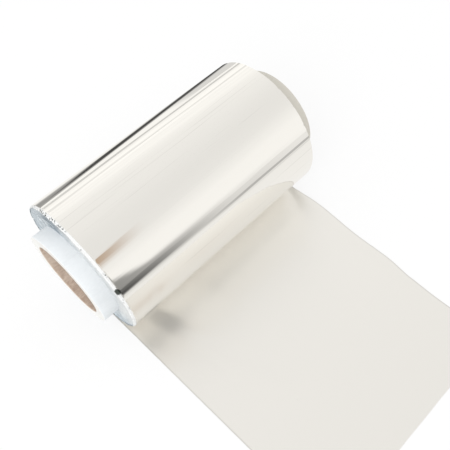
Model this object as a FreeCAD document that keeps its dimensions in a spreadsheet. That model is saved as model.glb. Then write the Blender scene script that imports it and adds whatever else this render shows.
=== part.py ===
import FreeCAD, Part
import os

import Sketcher

# Roll of aluminium foil, 120 mm wide, wound on a card tube and lying on its side
# with a stretch of foil drawn off and laid out flat in front of it.
# Millimetres. X runs along the tube, Z is up, and the foil is drawn off towards -Y.
# The origin is on the tube's axis, half-way along the width of the foil.

os.makedirs("parts", exist_ok=True)
doc = FreeCAD.newDocument("FoilRoll")

# Driving dimensions
SIZES = (
    ("foil_width", 120.0, "width of the foil strip, end to end of the winding"),
    ("roll_diameter", 72.0, "outside of the wound foil"),
    ("core_bore", 38.0, "inside of the card tube, one and a half inches"),
    ("core_wall", 6.0, "thickness of the card tube"),
    ("core_near_stub", 8.0, "card showing past the winding on the -X end"),
    ("core_far_stub", 11.0, "card showing past the winding on the +X end"),
    ("core_edge_break", 0.5, "softened edges of the tube's cut ends"),
    ("winding_gap", 0.05, "between the card and the innermost turn"),
    ("turn_pitch", 1.1, "distance from one group of turns to the next"),
    ("turn_notch_depth", 0.3, "how far the turns between two groups sit back"),
    ("turn_notch_width", 0.6, "width of the notch between two groups"),
    ("flat_spot_depth", 0.3, "how far the soft winding is pressed in where it lies"),
    ("tail_reach", 155.0, "end of the drawn-off foil, measured from the tube's axis"),
    ("tail_thickness", 0.3, "drawn-off foil, thicker than the real 0.02 so that it holds as a solid"),
)

sheet = doc.addObject("Spreadsheet::Sheet", "Sizes")
for row, (alias, value, note) in enumerate(SIZES, start=1):
    sheet.set("A%d" % row, alias)
    sheet.set("B%d" % row, str(value))
    sheet.set("C%d" % row, note)
    sheet.setAlias("B%d" % row, alias)
doc.recompute()


def origin_plane(body, role):
    """The body's own base plane, such as XY_Plane."""
    return next(item for item in body.Origin.OriginFeatures if item.Role == role)


def new_body(label):
    body = doc.addObject("PartDesign::Body", label)
    body.Label = label
    body.Placement = FreeCAD.Placement()
    return body


def new_sketch(body, name, role):
    sketch = body.newObject("Sketcher::SketchObject", name)
    sketch.AttachmentSupport = (origin_plane(body, role), [""])
    sketch.MapMode = "FlatFace"
    return sketch


def add_loop(sketch, corners):
    """A closed run of lines through the corners. Returns the number of its first line."""
    first = sketch.GeometryCount
    count = len(corners)
    for place in range(count):
        start = FreeCAD.Vector(*corners[place], 0)
        end = FreeCAD.Vector(*corners[(place + 1) % count], 0)
        sketch.addGeometry(Part.LineSegment(start, end), False)
    for place in range(count):
        following = (place + 1) % count
        sketch.addConstraint(Sketcher.Constraint("Coincident", first + place, 2, first + following, 1))
    return first


def bind(sketch, kind, line, point, value, expression):
    """Hold a point's distance from the sketch's origin along one axis, by an expression."""
    number = sketch.addConstraint(Sketcher.Constraint(kind, -1, 1, line, point, value))
    sketch.setExpression("Constraints[%d]" % number, expression)


def size_of(alias):
    return float(sheet.get(alias))


# Card core: a tube cut square from a long spiral-wound one, a little longer than the foil is wide,
# so that it shows at both ends. Its section is turned round the axis.
core = new_body("core_tube")
core_section = new_sketch(core, "CoreSection", "XY_Plane")
near_end = size_of("foil_width") / 2 + size_of("core_near_stub")
far_end = size_of("foil_width") / 2 + size_of("core_far_stub")
inner = size_of("core_bore") / 2
outer = inner + size_of("core_wall")
bottom = add_loop(core_section, ((-near_end, inner), (far_end, inner), (far_end, outer), (-near_end, outer)))
top = bottom + 2
for line in (bottom, top):
    core_section.addConstraint(Sketcher.Constraint("Horizontal", line))
for line in (bottom + 1, bottom + 3):
    core_section.addConstraint(Sketcher.Constraint("Vertical", line))
bind(core_section, "DistanceX", bottom, 1, -near_end, "-(Sizes.foil_width / 2 + Sizes.core_near_stub)")
bind(core_section, "DistanceX", bottom, 2, far_end, "Sizes.foil_width / 2 + Sizes.core_far_stub")
bind(core_section, "DistanceY", bottom, 1, inner, "Sizes.core_bore / 2")
bind(core_section, "DistanceY", top, 1, outer, "Sizes.core_bore / 2 + Sizes.core_wall")

core_turned = core.newObject("PartDesign::Revolution", "CoreTurned")
core_turned.Profile = core_section
core_turned.ReferenceAxis = (core_section, ["H_Axis"])
core_turned.Angle = 360
doc.recompute()

core_edges = core.newObject("PartDesign::Chamfer", "CoreEdges")
rims = ["Edge%d" % number for number, edge in enumerate(core_turned.Shape.Edges, start=1)
        if isinstance(edge.Curve, Part.Circle)]
core_edges.Base = (core_turned, rims)
core_edges.setExpression("Size", "Sizes.core_edge_break")
doc.recompute()

# Wound foil: the turns fill the space from the card to the outside of the roll. They are wound
# so tightly that they are one solid ring.
foil = new_body("foil_roll")
winding_section = new_sketch(foil, "WindingSection", "XY_Plane")
half_width = size_of("foil_width") / 2
seat = outer + size_of("winding_gap")
roll_radius = size_of("roll_diameter") / 2
bottom = add_loop(winding_section, ((-half_width, seat), (half_width, seat),
                                    (half_width, roll_radius), (-half_width, roll_radius)))
top = bottom + 2
for line in (bottom, top):
    winding_section.addConstraint(Sketcher.Constraint("Horizontal", line))
for line in (bottom + 1, bottom + 3):
    winding_section.addConstraint(Sketcher.Constraint("Vertical", line))
bind(winding_section, "DistanceX", bottom, 1, -half_width, "-Sizes.foil_width / 2")
bind(winding_section, "DistanceX", bottom, 2, half_width, "Sizes.foil_width / 2")
SEAT_RADIUS = "(Sizes.core_bore / 2 + Sizes.core_wall + Sizes.winding_gap)"
bind(winding_section, "DistanceY", bottom, 1, seat, SEAT_RADIUS)
bind(winding_section, "DistanceY", top, 1, roll_radius, "Sizes.roll_diameter / 2")

winding = foil.newObject("PartDesign::Revolution", "Winding")
winding.Profile = winding_section
winding.ReferenceAxis = (winding_section, ["H_Axis"])
winding.Angle = 360
doc.recompute()

# The edges of the turns show on the ends of the winding as fine rings. Groups of turns stand
# out, and a notch runs round between each two groups. One end is cut and the other mirrored.
groups = max(2, round((roll_radius - seat) / size_of("turn_pitch")))
half_notch = size_of("turn_notch_width") / 2
notch_depth = size_of("turn_notch_depth")
notch_section = new_sketch(foil, "TurnNotches", "XY_Plane")
for group in range(1, groups):
    share = group / groups
    middle = seat + (roll_radius - seat) * share
    lip = add_loop(notch_section, ((half_width, middle - half_notch), (half_width, middle + half_notch),
                                   (half_width - notch_depth, middle)))
    middle_rule = "%s + (Sizes.roll_diameter / 2 - %s) * %.6f" % (SEAT_RADIUS, SEAT_RADIUS, share)
    bind(notch_section, "DistanceX", lip, 1, half_width, "Sizes.foil_width / 2")
    bind(notch_section, "DistanceX", lip, 2, half_width, "Sizes.foil_width / 2")
    bind(notch_section, "DistanceY", lip, 1, middle - half_notch,
         middle_rule + " - Sizes.turn_notch_width / 2")
    bind(notch_section, "DistanceY", lip, 2, middle + half_notch,
         middle_rule + " + Sizes.turn_notch_width / 2")
    bind(notch_section, "DistanceX", lip + 1, 2, half_width - notch_depth,
         "Sizes.foil_width / 2 - Sizes.turn_notch_depth")
    bind(notch_section, "DistanceY", lip + 1, 2, middle, middle_rule)

far_turns = foil.newObject("PartDesign::Groove", "FarTurns")
far_turns.Profile = notch_section
far_turns.ReferenceAxis = (notch_section, ["H_Axis"])
far_turns.Angle = 360
doc.recompute()

near_turns = foil.newObject("PartDesign::Mirrored", "NearTurns")
near_turns.Originals = [far_turns]
near_turns.MirrorPlane = (origin_plane(foil, "YZ_Plane"), [""])
foil.Tip = near_turns
doc.recompute()

# Flat spot: the winding is soft enough to be pressed flat where it lies. What would hang
# below the table is cut away over the whole width.
floor_level = -(roll_radius - size_of("flat_spot_depth"))
flat_section = new_sketch(foil, "FlatSpotSection", "YZ_Plane")
below = add_loop(flat_section, ((-roll_radius, floor_level), (roll_radius, floor_level),
                                (roll_radius, floor_level - roll_radius),
                                (-roll_radius, floor_level - roll_radius)))
for line in (below, below + 2):
    flat_section.addConstraint(Sketcher.Constraint("Horizontal", line))
for line in (below + 1, below + 3):
    flat_section.addConstraint(Sketcher.Constraint("Vertical", line))
FLOOR_RULE = "-(Sizes.roll_diameter / 2 - Sizes.flat_spot_depth)"
bind(flat_section, "DistanceX", below, 1, -roll_radius, "-Sizes.roll_diameter / 2")
bind(flat_section, "DistanceX", below, 2, roll_radius, "Sizes.roll_diameter / 2")
bind(flat_section, "DistanceY", below, 1, floor_level, FLOOR_RULE)
bind(flat_section, "DistanceY", below + 2, 1, floor_level - roll_radius,
     FLOOR_RULE + " - Sizes.roll_diameter / 2")

flat_spot = foil.newObject("PartDesign::Pocket", "FlatSpot")
flat_spot.Profile = flat_section
flat_spot.Type = "ThroughAll"
flat_spot.Midplane = True
doc.recompute()

# Drawn-off foil: the outermost turn leaves the roll at the bottom and lies flat on the table
# as far as its straight cut end. It is as wide as the winding.
tail_section = new_sketch(foil, "TailSection", "YZ_Plane")
tail_end = -size_of("tail_reach")
tail_top = floor_level + size_of("tail_thickness")
lower = add_loop(tail_section, ((tail_end, floor_level), (0, floor_level), (0, tail_top), (tail_end, tail_top)))
for line in (lower, lower + 2):
    tail_section.addConstraint(Sketcher.Constraint("Horizontal", line))
for line in (lower + 1, lower + 3):
    tail_section.addConstraint(Sketcher.Constraint("Vertical", line))
bind(tail_section, "DistanceX", lower, 1, tail_end, "-Sizes.tail_reach")
tail_section.addConstraint(Sketcher.Constraint("PointOnObject", lower, 2, -2))
bind(tail_section, "DistanceY", lower, 1, floor_level, FLOOR_RULE)
bind(tail_section, "DistanceY", lower + 2, 1, tail_top, FLOOR_RULE + " + Sizes.tail_thickness")

tail = foil.newObject("PartDesign::Pad", "Tail")
tail.Profile = tail_section
tail.setExpression("Length", "Sizes.foil_width")
tail.Midplane = True
doc.recompute()

# Every object is checked before anything is written.
for item in doc.Objects:
    if "Invalid" in item.State or "Error" in item.State:
        raise RuntimeError("%s did not build: %s" % (item.Name, item.State))

for body in (core, foil):
    shape = body.Shape
    if shape.isNull() or not shape.isValid():
        raise RuntimeError("%s has no valid shape" % body.Label)
    print("%s: %d solid, %.1f mm3" % (body.Label, len(shape.Solids), shape.Volume))
    shape.exportStep("parts/%s.step" % body.Label)
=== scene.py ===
import math
import random
import bmesh
import bpy
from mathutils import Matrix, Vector, noise


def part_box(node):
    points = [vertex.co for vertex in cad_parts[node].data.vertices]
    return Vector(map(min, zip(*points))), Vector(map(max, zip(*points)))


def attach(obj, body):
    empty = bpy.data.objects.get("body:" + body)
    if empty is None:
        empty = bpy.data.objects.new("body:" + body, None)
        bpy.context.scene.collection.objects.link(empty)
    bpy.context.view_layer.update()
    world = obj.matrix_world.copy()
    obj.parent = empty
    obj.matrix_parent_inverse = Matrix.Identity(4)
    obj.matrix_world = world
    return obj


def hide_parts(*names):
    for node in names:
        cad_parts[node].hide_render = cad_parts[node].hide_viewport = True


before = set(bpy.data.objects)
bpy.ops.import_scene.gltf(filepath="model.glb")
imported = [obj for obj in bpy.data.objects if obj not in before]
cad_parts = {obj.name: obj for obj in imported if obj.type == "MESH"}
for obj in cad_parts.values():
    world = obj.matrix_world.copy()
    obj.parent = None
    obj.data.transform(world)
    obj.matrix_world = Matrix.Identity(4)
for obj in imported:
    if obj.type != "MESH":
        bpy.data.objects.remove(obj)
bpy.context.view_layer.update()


# Card core: one spiral-wound tube of brown board with white paper outside, cut square at both ends.
# The foil was wound straight onto it, and nothing but the grip of the winding holds it.
CORE_BORE_RADIUS = 0.019
CORE_WALL = 0.006
CORE_SEGMENTS = 192
CORE_EDGE_BREAK = 0.0005
CORE_PLIES = 8
CORE_PLY_DEPTH = 0.00012
CORE_CUTS_ALONG = 34
KRAFT_STRIP_PITCH = 0.062
PAPER_STRIP_PITCH = 0.088
KRAFT_SEAM_DEPTH = 0.00012
PAPER_SEAM_DEPTH = 0.00005
FIBRE_HEIGHT = 0.00003
# Places closer than this count as the same.
SAME_PLACE = 1e-5
PAPER_WHITE = (0.87, 0.90, 0.92)
PAPER_SHADE = (0.80, 0.83, 0.85)
# Painted shade for the far end of the paper.
PAPER_FAR_END_SHADE_PAINTED = (0.67, 0.64, 0.57)
PLY_CREAM = (0.88, 0.88, 0.86)
PLY_GREY = (0.66, 0.64, 0.60)
KRAFT_LIGHT = (0.80, 0.69, 0.59)
KRAFT_DARK = (0.46, 0.34, 0.26)


def select_only(piece):
    bpy.ops.object.select_all(action="DESELECT")
    piece.select_set(True)
    bpy.context.view_layer.objects.active = piece


def edit(piece, kind):
    """Opens one piece in edit mode with nothing selected, to work on its VERT or EDGE."""
    select_only(piece)
    bpy.ops.object.mode_set(mode="EDIT")
    bpy.ops.mesh.select_mode(type=kind)
    bpy.ops.mesh.select_all(action="DESELECT")


def pick(piece, kind, wanted):
    """Selects the VERT or EDGE items whose corners are where wanted says, and leaves edit mode open."""
    edit(piece, kind)
    shape = bmesh.from_edit_mesh(piece.data)
    for item in {"VERT": shape.verts, "EDGE": shape.edges}[kind]:
        corners = [item.co] if kind == "VERT" else [corner.co for corner in item.verts]
        item.select_set(wanted(corners))
    shape.select_flush_mode()
    bmesh.update_edit_mesh(piece.data)


def close_edit():
    bpy.ops.object.mode_set(mode="OBJECT")


def finish_with(piece, kind, **settings):
    """Adds a modifier to the piece and applies it."""
    modifier = piece.modifiers.new(kind.title(), kind)
    for name, value in settings.items():
        setattr(modifier, name, value)
    select_only(piece)
    bpy.ops.object.modifier_apply(modifier=modifier.name)


def smooth(piece, degrees):
    """Shades the piece smooth but for edges sharper than this."""
    select_only(piece)
    bpy.ops.object.shade_smooth_by_angle(angle=math.radians(degrees))


def lying_at(middle):
    """Where a circle or cylinder is added, so that its axis is the tube's."""
    return {"location": (middle, 0, 0), "rotation": (0, math.radians(90), 0)}


def distance_from_axis(corner):
    return math.hypot(corner.y, corner.z)


class Wire:
    """A socket of a node tree. Sums on it add Math nodes, and node() adds any other kind."""

    def __init__(self, tree, socket=None):
        self.tree = tree
        self.socket = socket

    def node(self, kind, settings=None, sockets=None, out=0):
        made = self.tree.nodes.new(kind)
        for name, value in (settings or {}).items():
            if name == "stops":
                stops = made.color_ramp.elements
                while len(stops) < len(value):
                    stops.new(1.0)
                for stop, (place, colour) in zip(stops, value):
                    stop.position = place
                    stop.color = (*colour, 1.0)
            else:
                setattr(made, name, value)
        for name, value in (sockets or {}).items():
            if isinstance(value, Wire):
                self.tree.links.new(value.socket, made.inputs[name])
            elif isinstance(value, tuple) and len(value) == 3 and made.inputs[name].type == "RGBA":
                made.inputs[name].default_value = (*value, 1.0)
            else:
                made.inputs[name].default_value = value
        return Wire(self.tree, made.outputs[out])

    def math(self, operation, first, second=0.0):
        return self.node("ShaderNodeMath", {"operation": operation}, {0: first, 1: second})

    def __add__(self, other):
        return self.math("ADD", self, other)

    def __radd__(self, other):
        return self.math("ADD", other, self)

    def __sub__(self, other):
        return self.math("SUBTRACT", self, other)

    def __rsub__(self, other):
        return self.math("SUBTRACT", other, self)

    def __mul__(self, other):
        return self.math("MULTIPLY", self, other)

    def __rmul__(self, other):
        return self.math("MULTIPLY", other, self)

    def __truediv__(self, other):
        return self.math("DIVIDE", self, other)

    def __rtruediv__(self, other):
        return self.math("DIVIDE", other, self)

    def __abs__(self):
        return self.math("ABSOLUTE", self)

    def larger(self, first, second):
        return self.math("MAXIMUM", first, second)

    def between(self, low, high, start=0.0, end=1.0):
        """Goes smoothly from start to end as this value goes from low to high."""
        return self.node("ShaderNodeMapRange", {"interpolation_type": "SMOOTHSTEP"}, {
            "Value": self, "From Min": low, "From Max": high, "To Min": start, "To Max": end})

    def fade(self, low, high):
        """1 below low and 0 above high."""
        return self.between(low, high, 1.0, 0.0)

    def band(self, low, full_from, full_to, high):
        """1 in a band of this value, and 0 below low and above high."""
        return self.between(low, full_from) * self.fade(full_to, high)

    def blend(self, first, second):
        """The first colour where this mask is 0 and the second where it is 1."""
        return self.node("ShaderNodeMix", {"data_type": "RGBA"}, {0: self, 6: first, 7: second}, out=2)

    def mix(self, first, second):
        """The first shader where this mask is 0 and the second where it is 1."""
        return self.node("ShaderNodeMixShader", None, {0: self, 1: first, 2: second})

    def axes(self, place):
        """The x, y and z of a place."""
        x = self.node("ShaderNodeSeparateXYZ", None, {0: place})
        return [Wire(self.tree, socket) for socket in x.socket.node.outputs]

    def grain(self, place, scale, detail=2.0, roughness=0.5, stretch=(1.0, 1.0, 1.0)):
        """Noise from 0 to 1 at a place, with the place stretched first along each axis."""
        stretched = self.node("ShaderNodeMapping", None, {"Vector": place, "Scale": stretch})
        return self.node("ShaderNodeTexNoise", None, {"Vector": stretched, "Scale": scale,
                                                      "Detail": detail, "Roughness": roughness})

    def ragged_distance(self, place, spot, scale, unevenness=0.0016):
        """How far a place is from a spot, with noise added so that what is drawn by it is no circle."""
        away = self.node("ShaderNodeVectorMath", {"operation": "DISTANCE"}, {0: place, 1: spot}, out=1)
        return away + self.grain(place, scale, 1.0) * unevenness


# Outputs of the Texture Coordinate node. In a world, Generated is the direction.
GENERATED, OBJECT = 0, 3


def new_finish(name):
    """A material with its Principled shader, a wire to start nodes from and the place on the object."""
    finish = bpy.data.materials.new(name)
    finish.use_nodes = True
    wire = Wire(finish.node_tree)
    place = wire.node("ShaderNodeTexCoord", out=OBJECT)
    return finish, finish.node_tree.nodes["Principled BSDF"], wire, place


def connect(shader, socket, value):
    value.tree.links.new(value.socket, shader.inputs[socket])


def raise_surface(shader, height):
    """Bump by a height in metres."""
    connect(shader, "Normal", height.node("ShaderNodeBump", None, {"Height": height, "Distance": 1.0}))


core_low, core_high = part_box("core_tube")
core_length = core_high.x - core_low.x
bpy.ops.object.select_all(action="DESELECT")
bpy.ops.mesh.primitive_cylinder_add(
    vertices=CORE_SEGMENTS, radius=CORE_BORE_RADIUS, depth=core_length, end_fill_type="NOTHING",
    **lying_at((core_low.x + core_high.x) / 2))
card_core = bpy.context.object
card_core.name = "card_core"
bpy.ops.object.transform_apply(location=True, rotation=True, scale=True)
pick(card_core, "EDGE", lambda ends: abs(ends[0].x - ends[1].x) > core_length / 2)
bpy.ops.mesh.subdivide(number_cuts=CORE_CUTS_ALONG)
close_edit()
finish_with(card_core, "SOLIDIFY", thickness=CORE_WALL, offset=1.0)
finish_with(card_core, "BEVEL", width=CORE_EDGE_BREAK, segments=3, limit_method="ANGLE",
            angle_limit=math.radians(60))


def on_cut_end(corner):
    return corner.x < core_low.x + SAME_PLACE or corner.x > core_high.x - SAME_PLACE


# The plies of board show on the cut ends as fine rings.
pick(card_core, "EDGE", lambda ends: all(on_cut_end(end) for end in ends)
     and abs(distance_from_axis(ends[0]) - distance_from_axis(ends[1])) > CORE_WALL / 2)
bpy.ops.mesh.subdivide(number_cuts=2 * CORE_PLIES - 1)
close_edit()
first_ring = CORE_BORE_RADIUS + CORE_EDGE_BREAK
ring_step = (CORE_WALL - 2 * CORE_EDGE_BREAK) / (2 * CORE_PLIES)
for corner in card_core.data.vertices:
    if on_cut_end(corner.co):
        ring = round((distance_from_axis(corner.co) - first_ring) / ring_step)
        if ring % 2:
            fray = 0.6 + 0.4 * noise.noise(corner.co * 900)
            corner.co.x -= math.copysign(CORE_PLY_DEPTH * fray, corner.co.x)
smooth(card_core, 35)

card, card_shader, wire, place = new_finish("wound_card")
along, across, up = wire.axes(place)
radius = wire.math("SQRT", across * across + up * up)
turn = wire.math("ARCTAN2", up, across) / math.tau
inside = radius.fade(CORE_BORE_RADIUS + 0.0001, CORE_BORE_RADIUS + CORE_EDGE_BREAK)
outside = radius.between(CORE_BORE_RADIUS + CORE_WALL - 0.0004, CORE_BORE_RADIUS + CORE_WALL - 0.0001)
fibres = wire.grain(place, 1400, 4.0, 0.6, (0.35, 1.0, 1.0))
blotches = wire.grain(place, 70, 3.0)
kraft_lap = abs(wire.math("FRACT", along / KRAFT_STRIP_PITCH + turn) - 0.5)
paper_lap = abs(wire.math("FRACT", along / PAPER_STRIP_PITCH - turn + 0.31) - 0.5)
kraft_seam = kraft_lap.fade(0.004, 0.016)
paper_seam = paper_lap.fade(0.002, 0.006)
kraft = (fibres * 0.55 + blotches * 0.45).between(0.3, 0.7).blend(KRAFT_DARK, KRAFT_LIGHT)
kraft = (kraft_seam * 0.55).blend(kraft, KRAFT_DARK)
ply_rings = wire.math("SINE", (radius - first_ring) / ring_step * math.pi + blotches * 1.5) * 0.5 + 0.5
plies = (ply_rings * 0.5 + fibres * 0.3).between(0.3, 0.9).blend(PLY_CREAM, PLY_GREY)
paper = (blotches * 0.6 + fibres * 0.4).between(0.42, 0.72).blend(PAPER_WHITE, PAPER_SHADE)
paper = (paper_seam * 0.5).blend(paper, PAPER_SHADE)
# Painted shade: the paper is painted darker and warmer towards the far end, for the roll's shade there.
paper = along.between(-0.02, 0.062).blend(paper, PAPER_FAR_END_SHADE_PAINTED)
connect(card_shader, "Base Color", inside.blend(outside.blend(plies, paper), kraft))
connect(card_shader, "Roughness", outside.between(0.0, 1.0, 0.9, 0.62) + fibres * 0.08)
relief = fibres * FIBRE_HEIGHT - (kraft_seam * inside) * KRAFT_SEAM_DEPTH
raise_surface(card_shader, relief - (paper_seam * outside) * PAPER_SEAM_DEPTH)
card_core.data.materials.append(card)
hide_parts("core_tube")
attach(card_core, "root")


# Foil: one strip of rolled aluminium, bright on the side that faces out of the roll and dull on the
# other. A few hundred turns lie under the outer one and show only by their edges. The outer turn leaves
# the roll at the bottom and lies drawn off in front of it, dull side up.
foil_low, foil_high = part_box("foil_roll")
FOIL_HALF_WIDTH = 0.060
ROLL_RADIUS = foil_high.z
FLOOR = foil_low.z
TAIL_END = foil_low.y
SHEET = 0.0001
SEAT_RADIUS = CORE_BORE_RADIUS + CORE_WALL + 0.00005
TURN_SEGMENTS = 256
TURN_RINGS = 24
# How far the edges of the turns sit back from the foil's full width: all of them, every second one,
# by chance, and by chance in patches. Those next to the near rim, which is crushed, sit further back.
TURN_SUNK = 0.00005
TURN_STEP = 0.00028
TURN_CHANCE = 0.00012
TURN_PATCHES = 0.00025
NEAR_RIM_STEPS = (0.0, 0.0001, 0.0002, 0.0004)
STRIP_COLUMNS = 88
STRIP_ROWS = 110
SPIN_STEPS = 280
SPIN_DEGREES = 356
BRIGHT, DULL, CUT = 0, 1, 2

# The foil's warm cream tone is a painted reflection of warm room light.
FOIL_COLOUR = (0.975, 0.962, 0.93)
STREAK_COLOUR = (0.50, 0.49, 0.46)
RIM_COLOUR = (0.95, 0.96, 0.96)
# Painted shade for the dark specks and the tear on the near rim.
PAINTED_SHADE_SPECK_COLOUR = (0.06, 0.07, 0.06)
# The blue tint of the cut ends' colours is a painted reflection of cool light from the near end.
EDGE_COLOUR = (0.84, 0.92, 0.97)
EDGE_SHADE = (0.40, 0.47, 0.54)
# Painted highlight for the fan on the cut ends.
EDGE_PAINTED_HIGHLIGHT = (0.97, 0.985, 0.99)
TORN_SPOT = (-0.0596, -0.0312, 0.018)
TORN_RADIUS = 0.0024
# Each dent has its place on the table and its radius.
DENTS = (((0.031, -0.0997), 0.0028), ((-0.028, -0.1064), 0.0022), ((0.023, -0.105), 0.0016))
DENT_HEIGHT = 0.00014
BURR_WIDTH = 0.0012
BURR_HEIGHT = 0.0002
ROLLED_HEIGHT = 0.0000006


def foil_finish(name, least_rough, most_rough, flat_height, line_height, streak_share, edge_shade):
    """Rolled foil: crosswise flats and hair lines from the winding, and fine lines along the strip from
    the rolling. The hair lines are painted only at the top and low down, where they mirror dark bands:
    a painted reflection. Its near rim is a torn, whitish burr with dark specks of painted shade, and one
    tear painted as a dark spot of shade. Its sides may be darker, and the dents of the drawn-off foil
    are in it too."""
    finish, shader, wire, place = new_finish(name)
    along, _, height = wire.axes(place)
    flats = wire.grain(place, 520, 3.0, 0.55, (0.02, 1.0, 1.0))
    rolled = wire.grain(place, 3500, 2.0, 0.5, (1.0, 0.03, 0.03))
    lines = wire.grain(place, 1000, 2.0, 0.6, (0.015, 1.0, 1.0))
    burr_end = BURR_WIDTH - FOIL_HALF_WIDTH
    burr = along.fade(burr_end - 0.0003, burr_end + 0.0003) * height.between(FLOOR + 0.001, FLOOR + 0.003)
    # Painted shade and reflection: dark specks on the crushed rim and the spot of the tear are painted
    # near-black, for the shade and dark reflections in crumples.
    specks = wire.grain(place, 900, 1.0).between(0.55, 0.62)
    specks = specks * wire.grain(place, 110, 1.0).between(0.5, 0.6)
    tear = wire.ragged_distance(place, TORN_SPOT, 700).fade(TORN_RADIUS - 0.0003, TORN_RADIUS + 0.0003)
    painted_dark_marks = wire.larger(burr * specks, tear)
    across_strip = wire.axes(wire.node("ShaderNodeUVMap", {"uv_map": "UVMap"}))[0]
    strip_edge = abs(across_strip - 0.5).between(0.476, 0.492) * (1.0 - burr) * edge_shade
    # Painted reflection: the hair lines are real, but they are painted only along the top of the roll and
    # low on its front, where they mirror the room's dark bands.
    painted_reflection_zone = wire.larger(height.between(0.031, 0.035), height.fade(0.006, 0.018))
    streaks = lines.between(0.56, 0.68) * flats.between(0.42, 0.6) * painted_reflection_zone * streak_share
    plain = wire.larger(strip_edge, streaks).blend(FOIL_COLOUR, STREAK_COLOUR)
    connect(shader, "Base Color", painted_dark_marks.blend(burr.blend(plain, RIM_COLOUR), PAINTED_SHADE_SPECK_COLOUR))
    connect(shader, "Metallic", 1.0 - burr * 0.7)
    connect(shader, "Roughness",
            wire.larger(rolled.between(0.2, 0.8, least_rough, most_rough), burr * 0.5))
    relief = flats * flat_height + lines * line_height + rolled * ROLLED_HEIGHT
    relief = relief + burr * wire.grain(place, 1100, 1.0) * BURR_HEIGHT
    for middle, dent_radius in DENTS:
        from_dent = wire.ragged_distance(place, (*middle, FLOOR), 500)
        relief = relief + from_dent.between(0.0, dent_radius, DENT_HEIGHT, 0.0)
    raise_surface(shader, relief)
    return finish


cut, cut_shader, wire, place = new_finish("foil_edges")
_, across, up = wire.axes(place)
radius = wire.math("SQRT", across * across + up * up)
ring_way = wire.node("ShaderNodeCombineXYZ", None, {0: radius})
rings = wire.grain(ring_way, 3000, 3.0, 0.7)
smears = wire.grain(place, 220, 3.0, 0.6)
# Painted highlight: the cut ends are painted lighter in a fan towards the front and above, where fine
# rings would throw the light.
painted_highlight_fan = ((up * 0.5 - across * 0.87) / radius).between(0.2, 0.85)
edges = (rings * 0.55 + smears * 0.45).between(0.38, 0.62).blend(EDGE_SHADE, EDGE_COLOUR)
connect(cut_shader, "Base Color", (painted_highlight_fan * (rings * 0.3 + 0.6)).blend(edges, EDGE_PAINTED_HIGHLIGHT))
cut_shader.inputs["Metallic"].default_value = 1.0
cut_shader.inputs["Roughness"].default_value = 0.42
raise_surface(cut_shader, rings * 0.00005)

bright = foil_finish("bright_foil", least_rough=0.03, most_rough=0.06, flat_height=0.00002,
                     line_height=0.000014, streak_share=0.17, edge_shade=0.0)
dull = foil_finish("dull_foil", least_rough=0.285, most_rough=0.33, flat_height=0.000004,
                   line_height=0.0, streak_share=0.0, edge_shade=0.4)
finishes = (bright, dull, cut)

# The turns under the outer one: a ring drawn out along the tube, whose ends step inwards.
under_radius = ROLL_RADIUS - 3 * SHEET
under_end = FOIL_HALF_WIDTH - 0.0002
spread = random.Random(7)
bpy.ops.object.select_all(action="DESELECT")
bpy.ops.mesh.primitive_circle_add(vertices=TURN_SEGMENTS, radius=SEAT_RADIUS, fill_type="NOTHING",
                                  **lying_at(-under_end))
turns = bpy.context.object
for finish in finishes:
    turns.data.materials.append(finish)
bpy.ops.object.transform_apply(location=True, rotation=True, scale=True)
edit(turns, "EDGE")
bpy.ops.mesh.select_all(action="SELECT")
ring_radius = SEAT_RADIUS
ring_place = -under_end


def draw_ring(new_radius, new_place):
    """Extrudes the selected ring to a new radius and place along the tube."""
    global ring_radius, ring_place
    grow = new_radius / ring_radius
    bpy.ops.mesh.extrude_edges_move(TRANSFORM_OT_translate={"value": (new_place - ring_place, 0, 0)})
    bpy.ops.transform.resize(value=(1, grow, grow), center_override=(0, 0, 0))
    ring_radius, ring_place = new_radius, new_place


ring_gap = (under_radius - SEAT_RADIUS) / TURN_RINGS
for end in (-1, 1):
    rings = range(1, TURN_RINGS + 1) if end < 0 else range(TURN_RINGS, -1, -1)
    for ring in rings:
        sunk = TURN_SUNK + (TURN_STEP if ring % 2 else 0.0) * spread.uniform(0.5, 1.2)
        sunk += TURN_CHANCE * spread.random()
        if end < 0:
            sunk += NEAR_RIM_STEPS[max(0, ring - TURN_RINGS + len(NEAR_RIM_STEPS) - 1)]
        shift = ring_gap * spread.uniform(-0.2, 0.2) if 0 < ring < TURN_RINGS else 0.0
        draw_ring(SEAT_RADIUS + ring_gap * ring + shift, end * (FOIL_HALF_WIDTH - sunk))
draw_ring(SEAT_RADIUS, -under_end)
bpy.ops.mesh.select_all(action="SELECT")
bpy.ops.mesh.remove_doubles(threshold=1e-6)
bpy.ops.mesh.normals_make_consistent(inside=False)
close_edit()
for corner in turns.data.vertices:
    if abs(corner.co.x) > FOIL_HALF_WIDTH - 0.002:
        wander = noise.noise(Vector((corner.co.y * 60, corner.co.z * 60, corner.co.x * 90)))
        corner.co.x -= math.copysign(TURN_PATCHES * max(0.0, wander), corner.co.x)
    corner.co.z = max(corner.co.z, FLOOR + 2.5 * SHEET)

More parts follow.
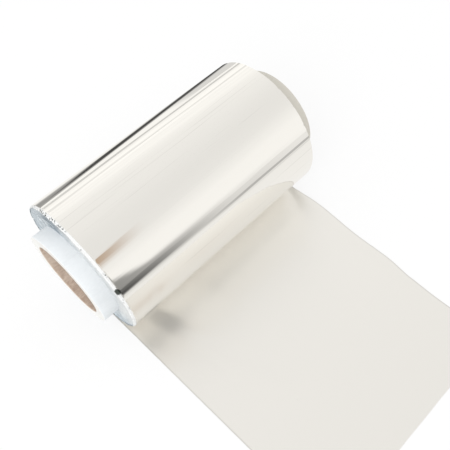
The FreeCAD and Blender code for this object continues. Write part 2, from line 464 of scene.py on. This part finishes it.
# The outer turn: a flat strip for the drawn-off foil, whose back edge is spun round the tube.
bpy.ops.object.select_all(action="DESELECT")
bpy.ops.mesh.primitive_grid_add(x_subdivisions=STRIP_COLUMNS, y_subdivisions=STRIP_ROWS, size=1.0,
                                location=(0, TAIL_END / 2, FLOOR + SHEET / 2))
sheet = bpy.context.object
for finish in finishes:
    sheet.data.materials.append(finish)
sheet.scale = (2 * FOIL_HALF_WIDTH, -TAIL_END, 1)
bpy.ops.object.transform_apply(location=True, rotation=True, scale=True)
pick(sheet, "VERT", lambda corners: corners[0].y > -SAME_PLACE)
bpy.ops.mesh.spin(steps=SPIN_STEPS, angle=math.radians(-SPIN_DEGREES), center=(0, 0, 0), axis=(1, 0, 0))
bpy.ops.mesh.select_all(action="SELECT")
bpy.ops.mesh.normals_make_consistent(inside=False)
close_edit()
topmost = max(sheet.data.polygons, key=lambda face: face.center.z)
if topmost.normal.z < 0:
    sheet.data.flip_normals()


def around(corner):
    """How far round the tube a point is: 0 and 1 at the bottom, 0.25 at the back and 0.5 on top."""
    return (math.atan2(corner.y, -corner.z) / math.tau) % 1.0


def rough(*place):
    """Smooth noise from -1 to 1 at a place of one to three numbers."""
    return noise.noise(Vector((*place, 0.0, 0.0)[:3]))


def ease(value, low, high):
    """0 at low and 1 at high, whichever of the two is larger."""
    share = min(1.0, max(0.0, (value - low) / (high - low)))
    return share * share * (3 - 2 * share)


# The far edge of the drawn-off foil wanders a little: how far out it lies, by the distance from the tube.
EDGE_WANDER = ((0.0, 0.0), (0.020, 0.0), (0.042, 0.0013), (0.072, 0.0), (0.090, 0.0003), (0.108, -0.0012),
               (0.122, -0.0015), (0.155, -0.0004))


def wander_at(reach):
    for (start, low), (end, high) in zip(EDGE_WANDER, EDGE_WANDER[1:]):
        if reach <= end:
            return low + (high - low) * ease(reach, start, end)
    return EDGE_WANDER[-1][1]


# The columns of the strip crowd towards its two edges, where the foil is torn and crushed.
CROWDING = math.radians(80)
EDGE_ZONE = 0.0016
BULGE = 0.00003
SMALL_BULGE = 0.000012
NICK_DEPTH = 0.0022
CRUSH_DEPTH, CRUSH_DEPTH_VARIES = 0.0007, 0.0006
CRUSH_WIDTH, CRUSH_WIDTH_VARIES = 0.0012, 0.0009
WAVE_HEIGHT = 0.00024
RIPPLE_HEIGHT = 0.00005
# The crest of the crease crosses the foil at this x under the tube and moves by this much per metre.
CREASE_START = -0.0475
CREASE_SLANT = 0.247
CREASE_HEIGHT = 0.0010
LIFT_SHARE = 0.08
middle_radius = ROLL_RADIUS - SHEET / 2
for corner in sheet.data.vertices:
    spot = corner.co
    share_out = spot.x / FOIL_HALF_WIDTH
    spot.x = FOIL_HALF_WIDTH * math.sin(CROWDING * share_out) / math.sin(CROWDING)
    at_edge = ease(abs(spot.x), FOIL_HALF_WIDTH - EDGE_ZONE, FOIL_HALF_WIDTH)
    side = math.copysign(1.0, spot.x)
    if spot.z > FLOOR + SHEET or spot.y > SAME_PLACE:
        # On the roll: a slightly uneven turn with nicked edges, crushed inwards at the near end.
        share = around(spot)
        bulge = BULGE * rough(spot.x * 6, spot.y * 120, spot.z * 120)
        bulge += SMALL_BULGE * rough(spot.x * 12, spot.y * 330, spot.z * 330)
        ragged = 0.00022 * rough(share * 22, side * 9) + 0.00025 * rough(share * 110, side * 9)
        nick = max(0.0, rough(share * 190, side * 5) - 0.35) * NICK_DEPTH
        spot.x -= side * at_edge * (nick + max(0.0, ragged) - 0.0001)
        radius = middle_radius - 1.5 * SHEET * share + bulge
        if side < 0:
            dents = rough(share * 70, 4.0) + rough(share * 230, 2.0)
            crushed = CRUSH_DEPTH + CRUSH_DEPTH_VARIES * dents
            reach_in = CRUSH_WIDTH + CRUSH_WIDTH_VARIES * rough(share * 170, 6.0)
            radius -= max(0.0001, crushed) * ease(-spot.x, FOIL_HALF_WIDTH - reach_in, FOIL_HALF_WIDTH)
        angle = share * math.tau
        spot.y = radius * math.sin(angle)
        spot.z = -radius * math.cos(angle)
        level = FLOOR + SHEET / 2 + (SHEET * 1.3 if share > 0.5 else 0.0)
        spot.z = max(spot.z, level)
    else:
        # Drawn off: faint waves, a far edge that wanders and lifts a little, and one slanting crease.
        reach = -spot.y
        free = ease(reach, 0.0, 0.03)
        wave = WAVE_HEIGHT * (rough(spot.x * 18, spot.y * 14, 3.0) + 0.6)
        ripple = RIPPLE_HEIGHT * (rough(spot.x * 55, spot.y * 40, 8.0) + 0.5)
        wander = wander_at(reach)
        outer = ease(spot.x, 0.02, FOIL_HALF_WIDTH)
        lift = max(0.0, wander) * LIFT_SHARE * ease(spot.x, 0.045, FOIL_HALF_WIDTH)
        crest = CREASE_START + CREASE_SLANT * reach
        crease = ease(spot.x, crest - 0.010, crest) * ease(spot.x, crest + 0.024, crest)
        crease *= ease(reach, 0.010, 0.026) * ease(reach, 0.104, 0.062)
        spot.z += free * (wave + ripple) + lift + CREASE_HEIGHT * crease
        spot.x += wander * outer + 0.00008 * at_edge * rough(reach * 300, side * 7)
        if reach > -TAIL_END - SAME_PLACE:
            spot.y += 0.0002 * rough(spot.x * 90, 2.0)
sheet.data.update()
finish_with(sheet, "SOLIDIFY", thickness=SHEET, offset=0.0, material_offset=DULL, material_offset_rim=CUT)
for piece in (turns, sheet):
    smooth(piece, 50)

for face in turns.data.polygons:
    face.material_index = BRIGHT if distance_from_axis(face.normal) > 0.9 else CUT

select_only(sheet)
turns.select_set(True)
bpy.ops.object.join()
foil = sheet
foil.name = "wound_foil"
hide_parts("foil_roll")
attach(foil, "root")


# Floor: a plain white table top that the roll lies on. The camera sees it as white with a soft
# shadow, and reflections see an even tinted floor that is a little darker at the left and in front.
FLOOR_SIZE = 12
SHADOW_SHARE = 0.25
ROOM_TINT = (0.98, 0.967, 0.94)
WHITE = (1.0, 1.0, 1.0)
CAMERA_RAY, GLOSSY_RAY, TRANSMISSION_RAY = 0, 3, 6


def is_ray(wire, kind):
    """1 for light that travels the named way, and 0 for all other."""
    return wire.node("ShaderNodeLightPath", out=kind)


def show(wire, output):
    """Makes the wire what the surface of a material or of the world shows."""
    wire.tree.links.new(wire.socket, output.inputs["Surface"])


bpy.ops.object.select_all(action="DESELECT")
bpy.ops.mesh.primitive_plane_add(size=FLOOR_SIZE, location=(0, 0, FLOOR))
floor = bpy.context.object
floor.name = "floor"
white, white_shader, wire, place = new_finish("white_floor")
white_shader.inputs["Base Color"].default_value = (0.95, 0.95, 0.95, 1.0)
white_shader.inputs["Roughness"].default_value = 0.9
white_shader.inputs["Specular IOR Level"].default_value = 0.0
seen = wire.larger(is_ray(wire, CAMERA_RAY), is_ray(wire, TRANSMISSION_RAY))
glow = wire.node("ShaderNodeEmission", None, {"Color": WHITE, "Strength": 1.0})
lit = Wire(wire.tree, white_shader.outputs[0])
beside, behind, _ = wire.axes(place)
plain = behind.between(-0.2, 0.3, 0.89, 1.0) * beside.between(-0.5, -0.12, 0.91, 1.0)
mirrored = wire.node("ShaderNodeEmission", None, {"Color": ROOM_TINT, "Strength": plain})
mixed = is_ray(wire, GLOSSY_RAY).mix((seen * (1 - SHADOW_SHARE)).mix(lit, glow), mirrored)
show(mixed, wire.tree.nodes["Material Output"])
floor.data.materials.append(white)


# Studio cards: two black cards on the floor that only reflections see. They give the foil its dark
# bands, and they give no light and no shadow. Places on them are counted in roll radii from the roll.
CARD_LIFT = 0.0004
BACK_CARD = {"middle": (-1.2, 26.0), "size": (54.0, 48.0)}
FRONT_CARD = {"middle": (-1.57, -85.0), "size": (200.0, 161.0)}
# The wedge in front runs away from the roll at this slant, and widens by this much for each radius.
WEDGE_SLANT = 0.16
WEDGE_SPREAD = 0.138


def studio_card(name, cover_at, middle, size):
    """One card. cover_at gives how dense it is at a place."""
    bpy.ops.object.select_all(action="DESELECT")
    bpy.ops.mesh.primitive_plane_add(
        size=ROLL_RADIUS, location=(ROLL_RADIUS * middle[0], ROLL_RADIUS * middle[1], FLOOR + CARD_LIFT))
    card_plane = bpy.context.object
    card_plane.name = name
    card_plane.scale = (*size, 1)
    bpy.ops.object.transform_apply(location=False, rotation=False, scale=True)
    finish, principled, wire, place = new_finish(name)
    wire.tree.nodes.remove(principled)
    x, y, _ = wire.axes(place)
    clear = wire.node("ShaderNodeBsdfTransparent")
    black = wire.node("ShaderNodeEmission", None, {"Color": (0.0, 0.0, 0.0), "Strength": 0.0})
    cover = cover_at(x / ROLL_RADIUS + middle[0], y / ROLL_RADIUS + middle[1])
    show(cover.mix(clear, black), wire.tree.nodes["Material Output"])
    card_plane.data.materials.append(finish)
    for unseen in ("visible_camera", "visible_diffuse", "visible_shadow", "visible_transmission",
                   "visible_volume_scatter"):
        setattr(card_plane, unseen, False)


def back_cover(x, y):
    """Starts along a slanting line behind the roll and runs far back, lighter at the left and far off."""
    x = abs(x + 1.2) - 1.2
    start = (0.724 * x + 0.691 * y).between(2.534, 3.934)
    start = x.larger(start, y.between(3.2, 5.6))
    stop = (x + 0.35 * y.math("MINIMUM", y - 4, 4.0)).fade(2.6, 5.2)
    dense = x.math("MINIMUM", x.between(-0.1, 0.5, 0.66, 0.93), y.between(9.5, 12.5, 0.93, 0.62))
    haze = 0.28 * (x / y).between(0.42, 0.54)
    return start * x.larger(stop * dense, haze)


def wedge_at(beside):
    """How dense the wedge is beside its slanting axis. It is densest where the near end mirrors it."""
    wedge = beside.between(-0.3, 2.0, 0.93, 0.17) * beside.between(-1.0, -0.5)
    return wedge * beside.between(2.0, 3.2, 1.0, 0.25)


def front_cover(x, y):
    """A grey line across the front that is denser at the right and, further out, the wedge."""
    away = -0.9 - y
    beside = (x + 1.57 - WEDGE_SLANT * away) / (1 + WEDGE_SPREAD * away)
    line = beside.between(1.0, 2.0, 0.16, 0.42) * away.band(3.9, 6.2, 6.8, 8.5)
    wedge = wedge_at(beside) * away.between(5.0, 8.4) * away.between(9.0, 40.0, 1.0, 0.78)
    return 1 - (1 - line) * (1 - wedge)


studio_card("back_card", back_cover, **BACK_CARD)
studio_card("front_card", front_cover, **FRONT_CARD)


# Light: an even white room, and one soft lamp from the near end and above. Reflections see the room as
# a studio that is brighter low down and behind, with thin grey lines low behind the roll and, in front
# of it, the rest of the grey wedge, a dark left-hand side and a brown smear.
ROOM_LIGHT = 0.98
SMEAR_BROWN = (0.60, 0.45, 0.33)
# Each grey of the room goes with the height of the direction, from 0 at the horizon to 1 overhead.
ROOM_GREYS = ((0.0, 0.98), (0.42, 0.965), (0.60, 0.905), (0.74, 0.84), (0.87, 0.82), (1.0, 0.83))
LAMP_PLACE = (-0.72, -0.36, 0.66)
LAMP_SIZE = 0.5
LAMP_WATTS = 2.2

room = bpy.context.scene.world or bpy.data.worlds.new("room")
bpy.context.scene.world = room
room.use_nodes = True
for old in list(room.node_tree.nodes):
    room.node_tree.nodes.remove(old)
wire = Wire(room.node_tree)
way_along, way_back, way_up = wire.axes(wire.node("ShaderNodeTexCoord", out=GENERATED))
rise = wire.node("ShaderNodeValToRGB",
                 {"stops": [(height, (grey, grey, grey)) for height, grey in ROOM_GREYS]}, {0: way_up})
level = rise + way_back.between(-0.3, 0.5, 0.0, 0.065)
# Behind the roll.
far_back = way_back.between(0.6, 0.85)
low_line = way_up.band(0.01, 0.05, 0.08, 0.14) * far_back
second_line = way_up.band(0.27, 0.31, 0.33, 0.37) * far_back
slats = wire.grain(wire.node("ShaderNodeCombineXYZ", None, {0: way_up}), 15, 1.0)
slats = slats.between(0.3, 0.7, -0.06, 0.06) * way_up.band(0.05, 0.15, 0.45, 0.7)
slats = slats * way_back.between(0.3, 0.6)
level = level * (1 - 0.42 * low_line) * (1 - 0.18 * second_line) * (1 + slats)
# In front of it.
in_front = way_back.fade(-0.5, -0.2)
slant = way_along / wire.larger(-1 * way_back, 0.05)
beside = (slant - WEDGE_SLANT) / WEDGE_SPREAD
raised = way_up + beside.between(-0.15, 0.5, -0.13, 0.09)
wedge = in_front * wedge_at(beside) * raised.between(0.09, 0.26, 0.76, 0.0)
left_dark = in_front * way_along.between(-0.06, 0.125, 0.8, 0.0) * way_along.between(-0.5, -0.3)
level = level * (1 - wedge) * (1 - left_dark * way_up.fade(0.42, 0.62))
# Along the roll: brighter past its near end, where its cut turns mirror it.
level = level * way_along.between(-0.92, -0.75, 1.25, 1.0) * way_along.between(-0.45, -0.1, 0.9, 1.0)
smear = in_front * way_up.band(0.62, 0.79, 0.815, 0.84) * way_along.band(0.0, 0.05, 0.14, 0.25)
tint = smear.blend(ROOM_TINT, SMEAR_BROWN)
studio = wire.node("ShaderNodeBackground", None, {"Color": tint, "Strength": level})
light = wire.node("ShaderNodeBackground", None, {"Color": WHITE, "Strength": ROOM_LIGHT})
backdrop = wire.node("ShaderNodeBackground", None, {"Color": WHITE, "Strength": 1.0})
is_mirror = wire.larger(is_ray(wire, GLOSSY_RAY), is_ray(wire, TRANSMISSION_RAY))
mixed = is_ray(wire, CAMERA_RAY).mix(is_mirror.mix(light, studio), backdrop)
show(mixed, room.node_tree.nodes.new("ShaderNodeOutputWorld"))

bpy.ops.object.light_add(type="AREA", location=LAMP_PLACE)
lamp = bpy.context.object
lamp.name = "soft_lamp"
lamp.data.shape = "DISK"
lamp.data.size = LAMP_SIZE
lamp.data.energy = LAMP_WATTS
lamp.visible_glossy = False
lamp.rotation_euler = (-lamp.location).to_track_quat("-Z", "Y").to_euler()


# Camera: above and in front of the near end, as in the photograph. Its place, turn and lens were
# fitted to the outline of the roll there.
eye = bpy.data.cameras.new("camera")
eye.lens = 49.51
eye.sensor_width = 36.0
eye.shift_x = -0.0889
eye.shift_y = 0.0333
eye.clip_start = 0.01
camera = bpy.data.objects.new("camera", eye)
camera.location = (-0.09767, -0.15629, 0.25032)
camera.rotation_euler = [math.radians(degrees) for degrees in (30.877, 0.725, -46.542)]
bpy.context.scene.collection.objects.link(camera)
bpy.context.scene.camera = camera
bpy.context.scene.view_settings.view_transform = "Standard"
